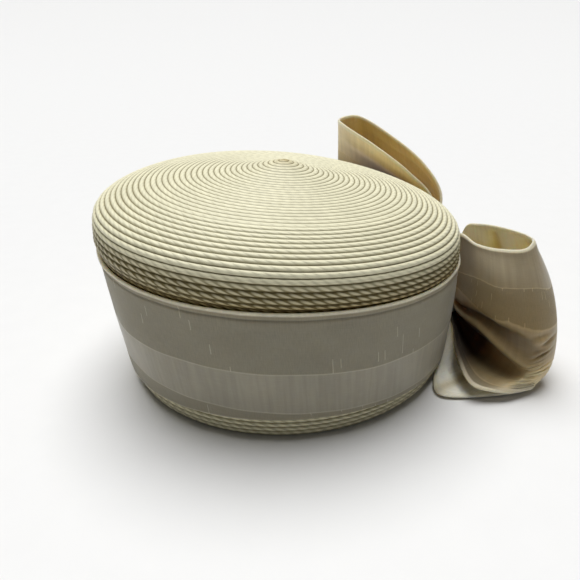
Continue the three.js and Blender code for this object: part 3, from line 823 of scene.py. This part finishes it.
def wrap_mesh(sizes):
    """The wrap round the gathered middle of the bow: an oval sleeve with soft pleats along it."""
    count = 96
    turn = 2 * math.pi * np.arange(count) / count
    section = []
    for station in np.linspace(-0.5, 0.5, 41):
        pleat = sizes.wrap_pleat * (0.5 + 0.5 * math.cos(2 * math.pi * 5 * station)) ** 2
        ends = WRAP_THICKNESS / 2 * math.exp(-(((abs(station) - 0.5) / 0.02) ** 2))
        section.append((station, ends + sizes.wrap_pleat - pleat))
    inner = ((0.46, 0.75), (0.35, 1.0), (-0.35, 1.0), (-0.46, 0.75))
    section += [(station, share * WRAP_THICKNESS) for station, share in inner]
    weave = Weave()
    rings = []
    for station, inset in section:
        aside = (WRAP_DEPTH / 2 - inset) * np.cos(turn)
        height = WRAP_MIDDLE + (WRAP_HEIGHT / 2 - inset) * np.sin(turn)
        rings.append(weave.add_line(bow_point(np.full(count, station * WRAP_LENGTH), aside, height)))
    around = np.linspace(0, math.pi * (WRAP_DEPTH + WRAP_HEIGHT) / 2, count + 1)
    for j, (station, _) in enumerate(section):
        following = (j + 1) % len(rings)
        closed = [np.append(rings[k], rings[k][0]) for k in (j, following)]
        across = [0.028 + 0.02 * (section[k][0] + 0.5) for k in (j, following)]
        weave.strip(closed[0], closed[1], around, across[0], across[1])
    return weave


# Materials


class Finish:
    """A material's nodes, with short calls for what the straw and the silk need."""

    def __init__(self, name):
        self.material = bpy.data.materials.new(name)
        self.material.use_nodes = True
        self.tree = self.material.node_tree
        self.surface = self.tree.nodes["Principled BSDF"]

    def node(self, kind, settings, *inputs):
        node = self.tree.nodes.new(kind)
        for key, value in settings.items():
            setattr(node, key, value)
        for socket, value in zip(node.inputs, inputs):
            self.feed(socket, value)
        return node

    def feed(self, socket, value):
        if isinstance(value, bpy.types.NodeSocket):
            self.tree.links.new(value, socket)
        elif value is not None:
            socket.default_value = value

    def math(self, operation, *inputs, clamp=False):
        settings = {"operation": operation, "use_clamp": clamp}
        return self.node("ShaderNodeMath", settings, *inputs).outputs[0]

    def place(self):
        """Place along and across the cloth."""
        source = self.node("ShaderNodeUVMap", {"uv_map": "cloth_place"})
        split = self.node("ShaderNodeSeparateXYZ", {}, source.outputs[0])
        return split.outputs[0], split.outputs[1]

    def attribute(self, name):
        return self.node("ShaderNodeAttribute", {"attribute_name": name}).outputs["Fac"]

    def point(self, x, y, z=0.0):
        return self.node("ShaderNodeCombineXYZ", {}, x, y, z).outputs[0]

    def noise(self, vector, scale=1.0, detail=2.0, roughness=0.5):
        node = self.node("ShaderNodeTexNoise", {"noise_dimensions": "3D"})
        self.feed(node.inputs["Vector"], vector)
        node.inputs["Scale"].default_value = scale
        node.inputs["Detail"].default_value = detail
        node.inputs["Roughness"].default_value = roughness
        return node.outputs[0]

    def random(self, x, y):
        node = self.node("ShaderNodeTexWhiteNoise", {"noise_dimensions": "2D"})
        self.feed(node.inputs["Vector"], self.point(x, y))
        return node.outputs[0]

    def step(self, value, low, high, low_out=0.0, high_out=1.0):
        """Smooth step of a value between two places."""
        node = self.node("ShaderNodeMapRange", {"interpolation_type": "SMOOTHSTEP"})
        for socket, given in zip(node.inputs, (value, low, high, low_out, high_out)):
            self.feed(socket, given)
        return node.outputs[0]

    def blend(self, factor, first, second, kind="MIX"):
        node = self.node("ShaderNodeMix", {"data_type": "RGBA", "blend_type": kind})
        self.feed(node.inputs["Factor"], factor)
        self.feed(node.inputs[6], first)
        self.feed(node.inputs[7], second)
        return node.outputs[2]

    def shade(self, colour, amount):
        """Colour times a number."""
        node = self.node("ShaderNodeVectorMath", {"operation": "SCALE"}, colour)
        self.feed(node.inputs["Scale"], amount)
        return node.outputs[0]

    def relief(self, height, distance, strength=1.0):
        node = self.node("ShaderNodeBump", {})
        self.feed(node.inputs["Height"], height)
        node.inputs["Distance"].default_value = distance
        node.inputs["Strength"].default_value = strength
        self.tree.links.new(node.outputs[0], self.surface.inputs["Normal"])


def rgba(colour):
    return (*colour, 1.0)


def straw_finish(sizes, colours):
    """Twisted strands sewn row on row: cream crests, olive grooves, a fibre along each strand."""
    finish = Finish("sewn_straw")
    along, across = finish.place()
    row = finish.math("FLOOR", across)
    share = finish.math("FRACT", across)
    phase = finish.math("MULTIPLY_ADD", share, sizes.twist_slant, along)
    strand = finish.math("FRACT", phase)
    number = finish.math("FLOOR", phase)
    crest = finish.math("SINE", finish.math("MULTIPLY", strand, math.pi))
    bow = finish.math("MULTIPLY", share, 4.0)
    bow = finish.math("MULTIPLY", bow, finish.math("SUBTRACT", 1.0, share))
    notch = finish.math("MULTIPLY", finish.math("SUBTRACT", 1.0, crest), 0.07)
    bow = finish.math("SUBTRACT", bow, notch)
    sharp = finish.math("MULTIPLY", finish.step(bow, 0.02, 0.4), 0.55)
    groove = finish.math("MULTIPLY_ADD", finish.step(bow, 0.15, 1.0), 0.45, sharp)
    odd = finish.random(number, row)
    fibre_place = finish.point(
        finish.math("MULTIPLY", phase, 13.0),
        finish.math("MULTIPLY", share, 1.6),
        finish.math("MULTIPLY", row, 3.7),
    )
    fibre = finish.noise(fibre_place, 1.0, 3.0, 0.6)
    cloud_place = finish.point(finish.math("MULTIPLY", along, 0.11), finish.math("MULTIPLY", across, 0.35))
    cloud = finish.noise(cloud_place, 1.0, 2.0)
    lit = finish.math("MULTIPLY", groove, finish.math("MULTIPLY_ADD", crest, 0.08, 0.92))
    # Painted shade with painted highlights: on the side under the rim the strands are painted as thin
    # light strokes along their crests between wide dark grooves
    painted_highlight_dash = finish.math("MULTIPLY_ADD", finish.math("SUBTRACT", 1.0, crest), -1.1, bow)
    painted_highlight_dash = finish.math("MULTIPLY", finish.step(painted_highlight_dash, 0.0, 0.95), 0.72)
    # How much painted side shade the row has
    side = finish.attribute("shaded")
    lit = finish.math("ADD", lit, finish.math("MULTIPLY", side, finish.math("SUBTRACT", painted_highlight_dash, lit)))
    colour = finish.blend(lit, rgba(colours.straw_groove), rgba(colours.straw))
    # Painted warm shade beside the band and on the side rows, and the straw's own older tone at the tip
    aged_and_shaded = finish.blend(1.0, colour, rgba(colours.straw_aged_and_shade), "MULTIPLY")
    colour = finish.blend(finish.attribute("glow_age_and_shade"), colour, aged_and_shaded)
    tone = finish.math("MULTIPLY_ADD", odd, 0.08, 0.95)
    tone = finish.math("MULTIPLY", tone, finish.math("MULTIPLY_ADD", fibre, 0.16, 0.93))
    tone = finish.math("MULTIPLY", tone, finish.math("MULTIPLY_ADD", cloud, 0.16, 0.93))
    finish.feed(finish.surface.inputs["Base Color"], finish.shade(colour, tone))
    rough = finish.math("MULTIPLY_ADD", fibre, 0.25, 0.34)
    finish.feed(finish.surface.inputs["Roughness"], rough)
    finish.surface.inputs["Specular IOR Level"].default_value = 0.3
    height = finish.math("MULTIPLY", crest, groove)
    height = finish.math("ADD", height, finish.math("MULTIPLY", fibre, 0.35))
    finish.relief(height, 0.0003, 0.7)
    return finish.material


def silk_finish(name, colours):
    """Slubbed silk with satin stripes that run along the ribbon."""
    finish = Finish(name)
    along, across = finish.place()

    def thread(along_scale, across_scale, layer, detail=2.0):
        place = finish.point(
            finish.math("MULTIPLY", along, along_scale),
            finish.math("MULTIPLY", across, across_scale),
            layer,
        )
        return finish.noise(place, 1.0, detail, 0.6)

    masks = []
    lines = []
    for low, high in SATIN_STRIPES:
        rising = finish.step(across, low - 0.0003, low + 0.0003)
        falling = finish.step(across, high - 0.0003, high + 0.0003, 1.0, 0.0)
        masks.append(finish.math("MULTIPLY", rising, falling))
        for edge in (low, high):
            away = finish.math("ABSOLUTE", finish.math("SUBTRACT", across, edge))
            lines.append(finish.step(away, 0.0001, 0.0006, 1.0, 0.0))
    satin = finish.math("ADD", masks[0], masks[1], clamp=True)
    matte = finish.math("SUBTRACT", 1.0, satin)
    line = finish.math("MAXIMUM", finish.math("MAXIMUM", lines[1], lines[2]), lines[3])
    hem = finish.math("MINIMUM", across, finish.math("SUBTRACT", RIBBON_WIDTH, across))
    hem = finish.step(hem, 0.0016, 0.0028, 1.0, 0.0)
    weft = thread(1900.0, 260.0, 0.0)
    warp = thread(150.0, 2300.0, 9.0)
    moire = thread(430.0, 26.0, 17.0, 3.0)
    cloud = thread(28.0, 40.0, 2.0, 3.0)
    # Slubs: one short thick thread in some of the cells of a grid
    column = finish.math("MULTIPLY", along, 260.0)
    storey = finish.math("MULTIPLY", across, 190.0)
    chance = finish.random(finish.math("FLOOR", column), finish.math("FLOOR", storey))
    thin = finish.math("ABSOLUTE", finish.math("SUBTRACT", finish.math("FRACT", column), 0.5))
    slub = finish.step(thin, 0.03, 0.09, 1.0, 0.0)
    slub = finish.math("MULTIPLY", finish.step(chance, 0.93, 0.95), slub)
    slub = finish.math("MULTIPLY", slub, matte)
    colour = finish.blend(satin, rgba(colours.silk_matte), rgba(colours.silk_satin))
    colour = finish.blend(finish.math("MULTIPLY", line, 0.22), colour, rgba(colours.silk_thread_and_highlight))
    colour = finish.blend(finish.math("MULTIPLY", slub, 0.3), colour, rgba(colours.silk_thread_and_highlight))
    # Paler painted light, as on the loops' inner faces and by the far fold
    inside = finish.attribute("inside")
    colour = finish.blend(inside, colour, rgba(colours.silk_painted_light))
    # A painted warm glow of light through the silk of the loops, and painted warm shade on the band's
    # upper edge
    glow_and_shade_tinted = finish.blend(1.0, colour, rgba(colours.silk_glow_and_shade), "MULTIPLY")
    colour = finish.blend(finish.attribute("glow_age_and_shade"), colour, glow_and_shade_tinted)
    # Painted highlight on the ribbon's rolled edges and on the band's roll
    colour = finish.blend(finish.math("MULTIPLY", hem, 0.8), colour, rgba(colours.silk_thread_and_highlight))
    # Painted shade in the deep folds, toward the wrap and along the band's sewn line
    darker = finish.blend(1.0, colour, rgba(colours.silk_shaded), "MULTIPLY")
    colour = finish.blend(finish.attribute("shaded"), colour, darker)
    weave = finish.math("MULTIPLY_ADD", satin, -0.18, finish.math("MULTIPLY", weft, matte))
    tone = finish.math("MULTIPLY_ADD", weave, 0.34, 0.83)
    tone = finish.math("MULTIPLY_ADD", finish.math("MULTIPLY", moire, satin), 0.42, tone)
    tone = finish.math("MULTIPLY", tone, finish.math("MULTIPLY_ADD", warp, 0.2, 0.9))
    cloudy = finish.math("MULTIPLY_ADD", inside, 0.5, 0.3)
    cloudy = finish.math("MULTIPLY", finish.math("SUBTRACT", cloud, 0.5), cloudy)
    tone = finish.math("MULTIPLY", tone, finish.math("ADD", cloudy, 1.0))
    finish.feed(finish.surface.inputs["Base Color"], finish.shade(colour, tone))
    rough = finish.math("MULTIPLY_ADD", matte, 0.24, 0.36)
    rough = finish.math("MULTIPLY_ADD", weft, 0.12, rough)
    finish.feed(finish.surface.inputs["Roughness"], rough)
    finish.surface.inputs["Specular IOR Level"].default_value = 0.35
    finish.surface.inputs["Sheen Weight"].default_value = 0.1
    finish.surface.inputs["Sheen Roughness"].default_value = 0.4
    finish.surface.inputs["Subsurface Weight"].default_value = 0.45
    finish.surface.inputs["Subsurface Radius"].default_value = (1.0, 0.75, 0.42)
    finish.surface.inputs["Subsurface Scale"].default_value = 0.006
    height = finish.math("MULTIPLY", finish.math("MULTIPLY_ADD", slub, 1.5, weft), matte)
    height = finish.math("ADD", height, finish.math("MULTIPLY", warp, 0.35))
    finish.relief(height, 0.00014, 0.7)
    return finish.material


# Settings that a user would change


def length_setting(name, description, default, low, high):
    return FloatProperty(
        name=name, description=description, default=default, min=low, max=high,
        subtype="DISTANCE", unit="LENGTH", precision=5)


def colour_setting(name, description, default):
    return FloatVectorProperty(
        name=name, description=description, default=default, min=0, max=1, size=3, subtype="COLOR")


class HatBraidSizes(bpy.types.PropertyGroup):
    row_width: length_setting(
        "Row width", "Width that shows of one braid row", 0.0029, 0.0022, 0.004)
    row_relief: length_setting(
        "Row relief", "How far a row's crest stands out of its groove", 0.00048, 0.0, 0.001)
    twist_length: length_setting(
        "Twist length", "Length of one twist of the strands", 0.00525, 0.002, 0.01)
    twist_relief: length_setting(
        "Twist relief", "How far a strand stands out of its row", 0.00016, 0.0, 0.0005)
    twist_slant: FloatProperty(
        name="Twist slant", description="Twists that a strand moves on across its row",
        default=1.15, min=0.0, max=2.0, subtype="FACTOR")


class HatSilkSizes(bpy.types.PropertyGroup):
    hem_width: length_setting(
        "Hem width", "Width of the rolled edge of the ribbon", 0.0021, 0.0005, 0.004)
    cloth_thickness: length_setting(
        "Cloth thickness", "Thickness of the doubled silk of the loops", 0.0013, 0.0006, 0.003)
    pleat_depth: length_setting(
        "Pleat depth", "Depth of the pleats that fan out of the wrap", 0.0035, 0.0, 0.006)
    pucker_depth: length_setting(
        "Pucker depth", "Depth of the small puckers by the far fold", 0.0007, 0.0, 0.003)
    roll_depth: length_setting(
        "Band roll", "Half the thickness of the band's rolled upper edge", 0.0008, 0.0004, 0.002)
    seam_below_edge: length_setting(
        "Seam below edge", "Distance of the sewn line from the band's upper edge", 0.0036, 0.001, 0.01)
    seam_depth: length_setting(
        "Seam depth", "How far the sewn line draws the band in", 0.00045, 0.0, 0.001)
    wave_depth: length_setting(
        "Band waves", "Height of the soft waves in the band", 0.0009, 0.0, 0.002)
    wrap_pleat: length_setting(
        "Wrap pleats", "Depth of the pleats in the bow's wrap", 0.0004, 0.0, 0.001)


class HatColours(bpy.types.PropertyGroup):
    straw: colour_setting(
        "Straw", "Crests of the braid", (0.86, 0.825, 0.60))
    straw_groove: colour_setting(
        "Groove", "Grooves between the rows", (0.20, 0.165, 0.07))
    # Painted warm shade beside the band and on the side rows, and the straw's own older tone at the tip
    straw_aged_and_shade: colour_setting(
        "Aged straw", "Tint of the straw beside the band and at the tip", (0.60, 0.49, 0.28))
    silk_matte: colour_setting(
        "Matte silk", "Slubbed stripes of the silk", (0.29, 0.265, 0.195))
    silk_satin: colour_setting(
        "Satin", "Satin stripes of the silk", (0.36, 0.33, 0.255))
    # Lighter threads at the stripe edges and the slubs, and the painted highlight on rolled edges
    silk_thread_and_highlight: colour_setting(
        "Silk edge", "Rolled edges of the silk", (0.84, 0.77, 0.59))
    # Paler painted light, as on the loops' inner faces
    silk_painted_light: colour_setting(
        "Silk inside", "Silk on the inner faces of the loops", (0.97, 0.925, 0.79))
    # Painted shade deep in the folds and toward the wrap
    silk_shaded: colour_setting(
        "Deep folds", "Tint of the silk deep in a fold", (0.06, 0.042, 0.022))
    # Painted warm glow of light through the silk, and painted warm shade on the band's upper edge
    silk_glow_and_shade: colour_setting(
        "Silk warmth", "Tint of the silk where light comes through it", (0.95, 0.79, 0.50))
    floor: colour_setting(
        "Floor", "The pale floor", (0.78, 0.78, 0.775))


class HatStageSettings(bpy.types.PropertyGroup):
    sun_power: FloatProperty(
        name="Overhead light", description="Strength of the wide soft light from above",
        default=3.7, min=0, max=20, subtype="FACTOR")
    sun_softness: FloatProperty(
        name="Softness", description="Angle that the overhead light fills",
        default=math.radians(48), min=0, max=math.pi, subtype="ANGLE", unit="ROTATION")
    room_light: FloatProperty(
        name="Room light", description="Strength of the even light all round",
        default=0.07, min=0, max=5, subtype="FACTOR")
    lens: FloatProperty(
        name="Lens", description="Focal length of the camera",
        default=34.353, min=10, max=200, subtype="DISTANCE_CAMERA", unit="CAMERA")


SILK = {}


def silk_material(settings):
    if "striped_silk" not in SILK:
        SILK["striped_silk"] = silk_finish("striped_silk", settings)
    return SILK["striped_silk"]


# One operator for each piece, and one for the stage


class HAT_OT_braid(bpy.types.Operator):
    """Make the hat's body of sewn braid"""

    bl_idname = "hat.braid"
    bl_label = "Braid Body"

    def execute(self, context):
        sizes, colours = context.scene.hat_braid, context.scene.hat_colours
        finish = straw_finish(sizes, colours)
        braid_mesh(sizes).piece("sewn_braid_body", "braid_crown", "straw_braid", finish)
        return {"FINISHED"}


class HAT_OT_band(bpy.types.Operator):
    """Make the striped silk band"""

    bl_idname = "hat.band"
    bl_label = "Silk Band"

    def execute(self, context):
        silk = silk_material(context.scene.hat_colours)
        band = band_mesh(context.scene.hat_silk)
        band = band.piece("striped_band", "silk_band", "striped_silk", silk)
        return {"FINISHED"}


class HAT_OT_loops(bpy.types.Operator):
    """Make the two loops of the bow"""

    bl_idname = "hat.loops"
    bl_label = "Bow Loops"

    def execute(self, context):
        silk, sizes = silk_material(context.scene.hat_colours), context.scene.hat_silk
        front = ribbon_loop(
            FRONT_LOOP, FRONT_REACH, 1, front_folds(sizes), FRONT_STRIPES, sizes, front_tints)
        front = front.piece("front_loop", "front_bow_loop", "striped_silk", silk)
        rear = ribbon_loop(
            REAR_LOOP, REAR_REACH, -1, rear_folds(sizes), REAR_STRIPES, sizes, rear_tints)
        rear = rear.piece("rear_loop", "rear_bow_loop", "striped_silk", silk)
        return {"FINISHED"}


class HAT_OT_wrap(bpy.types.Operator):
    """Make the wrap that gathers the bow"""

    bl_idname = "hat.wrap"
    bl_label = "Bow Wrap"

    def execute(self, context):
        silk = silk_material(context.scene.hat_colours)
        wrap = wrap_mesh(context.scene.hat_silk)
        wrap = wrap.piece("bow_gather", "bow_wrap", "striped_silk", silk)
        return {"FINISHED"}


class HAT_OT_stage(bpy.types.Operator):
    """Make the floor, the lights and the camera"""

    bl_idname = "hat.stage"
    bl_label = "Stage"

    def execute(self, context):
        settings = context.scene.hat_stage
        make_floor(context.scene.hat_colours)
        add_overhead_light(settings)
        world = bpy.data.worlds.new("room")
        world.use_nodes = True
        background = world.node_tree.nodes["Background"]
        background.inputs["Color"].default_value = (1, 1, 1, 1)
        background.inputs["Strength"].default_value = settings.room_light
        # The camera sees a pale room, while its light stays dim
        seen = world.node_tree.nodes.new("ShaderNodeLightPath").outputs["Is Camera Ray"]
        strength = world.node_tree.nodes.new("ShaderNodeMath")
        strength.operation = "MULTIPLY_ADD"
        strength.inputs[1].default_value = 0.85
        strength.inputs[2].default_value = settings.room_light
        world.node_tree.links.new(seen, strength.inputs[0])
        world.node_tree.links.new(strength.outputs[0], background.inputs["Strength"])
        context.scene.world = world
        context.scene.view_settings.view_transform = "Standard"
        add_camera(settings.lens)
        return {"FINISHED"}


def make_floor(colours):
    finish = Finish("pale_floor")
    position = finish.node("ShaderNodeTexCoord", {}).outputs["Object"]
    grain = finish.noise(position, 60.0, 3.0)
    tone = finish.math("MULTIPLY_ADD", grain, 0.03, 0.985)
    base = finish.node("ShaderNodeRGB", {})
    base.outputs[0].default_value = rgba(colours.floor)
    finish.feed(finish.surface.inputs["Base Color"], finish.shade(base.outputs[0], tone))
    finish.surface.inputs["Roughness"].default_value = 0.8
    mesh = bpy.data.meshes.new("floor")
    half, rise_from, rise = 12.0, 1.5, 0.02
    lines = [-half, *np.linspace(rise_from, half, 24)]
    corners = [(x, y, rise * max(y - rise_from, 0) ** 2) for y in lines for x in (-half, half)]
    faces = [(2 * i, 2 * i + 1, 2 * i + 3, 2 * i + 2) for i in range(len(lines) - 1)]
    mesh.from_pydata(corners, [], faces)
    mesh.shade_smooth()
    mesh.materials.append(finish.material)
    floor = bpy.data.objects.new("floor", mesh)
    floor.location.z = -0.0002
    bpy.context.scene.collection.objects.link(floor)


def add_overhead_light(settings):
    data = bpy.data.lights.new("overhead_light", "SUN")
    data.energy = settings.sun_power
    data.angle = settings.sun_softness
    light = bpy.data.objects.new("overhead_light", data)
    light.rotation_euler = Vector((0.06, -0.24, -1)).to_track_quat("-Z", "Y").to_euler()
    bpy.context.scene.collection.objects.link(light)


def add_camera(lens):
    data = bpy.data.cameras.new("camera")
    data.lens = lens
    data.sensor_width = 36
    camera = bpy.data.objects.new("camera", data)
    right = Vector((0.99994101, -0.00510559, -0.00958722))
    up = Vector((0.01085216, 0.4321415, 0.90174051))
    back = right.cross(up)
    turn = Matrix((right, up, back)).transposed().to_4x4()
    place = Vector((0, -0.30205518, 0.17926962)) + Vector(BASE_MIDDLE)
    camera.matrix_world = Matrix.Translation(place) @ turn
    bpy.context.scene.collection.objects.link(camera)
    bpy.context.scene.camera = camera


class HAT_PT_panel(bpy.types.Panel):
    """Buttons and settings for the hat"""

    bl_idname = "HAT_PT_panel"
    bl_label = "Straw Pillbox Hat"
    bl_space_type = "VIEW_3D"
    bl_region_type = "UI"
    bl_category = "Hat"

    def draw(self, context):
        layout = self.layout
        for operator in OPERATORS:
            layout.operator(operator.bl_idname)
        for name in GROUPS:
            box = layout.box()
            settings = getattr(context.scene, name)
            for key in settings.bl_rna.properties.keys():
                if key not in ("rna_type", "name"):
                    box.prop(settings, key)


OPERATORS = (HAT_OT_stage, HAT_OT_braid, HAT_OT_band, HAT_OT_wrap, HAT_OT_loops)
GROUPS = {
    "hat_braid": HatBraidSizes,
    "hat_silk": HatSilkSizes,
    "hat_colours": HatColours,
    "hat_stage": HatStageSettings,
}


def register():
    for kind in (*GROUPS.values(), *OPERATORS, HAT_PT_panel):
        bpy.utils.register_class(kind)
    for name, kind in GROUPS.items():
        setattr(bpy.types.Scene, name, PointerProperty(type=kind))


def unregister():
    for name in GROUPS:
        delattr(bpy.types.Scene, name)
    for kind in (HAT_PT_panel, *OPERATORS[::-1], *list(GROUPS.values())[::-1]):
        bpy.utils.unregister_class(kind)


def main():
    register()
    for operator in ("stage", "braid", "band", "wrap", "loops"):
        getattr(bpy.ops.hat, operator)()


if __name__ == "__main__":
    main()
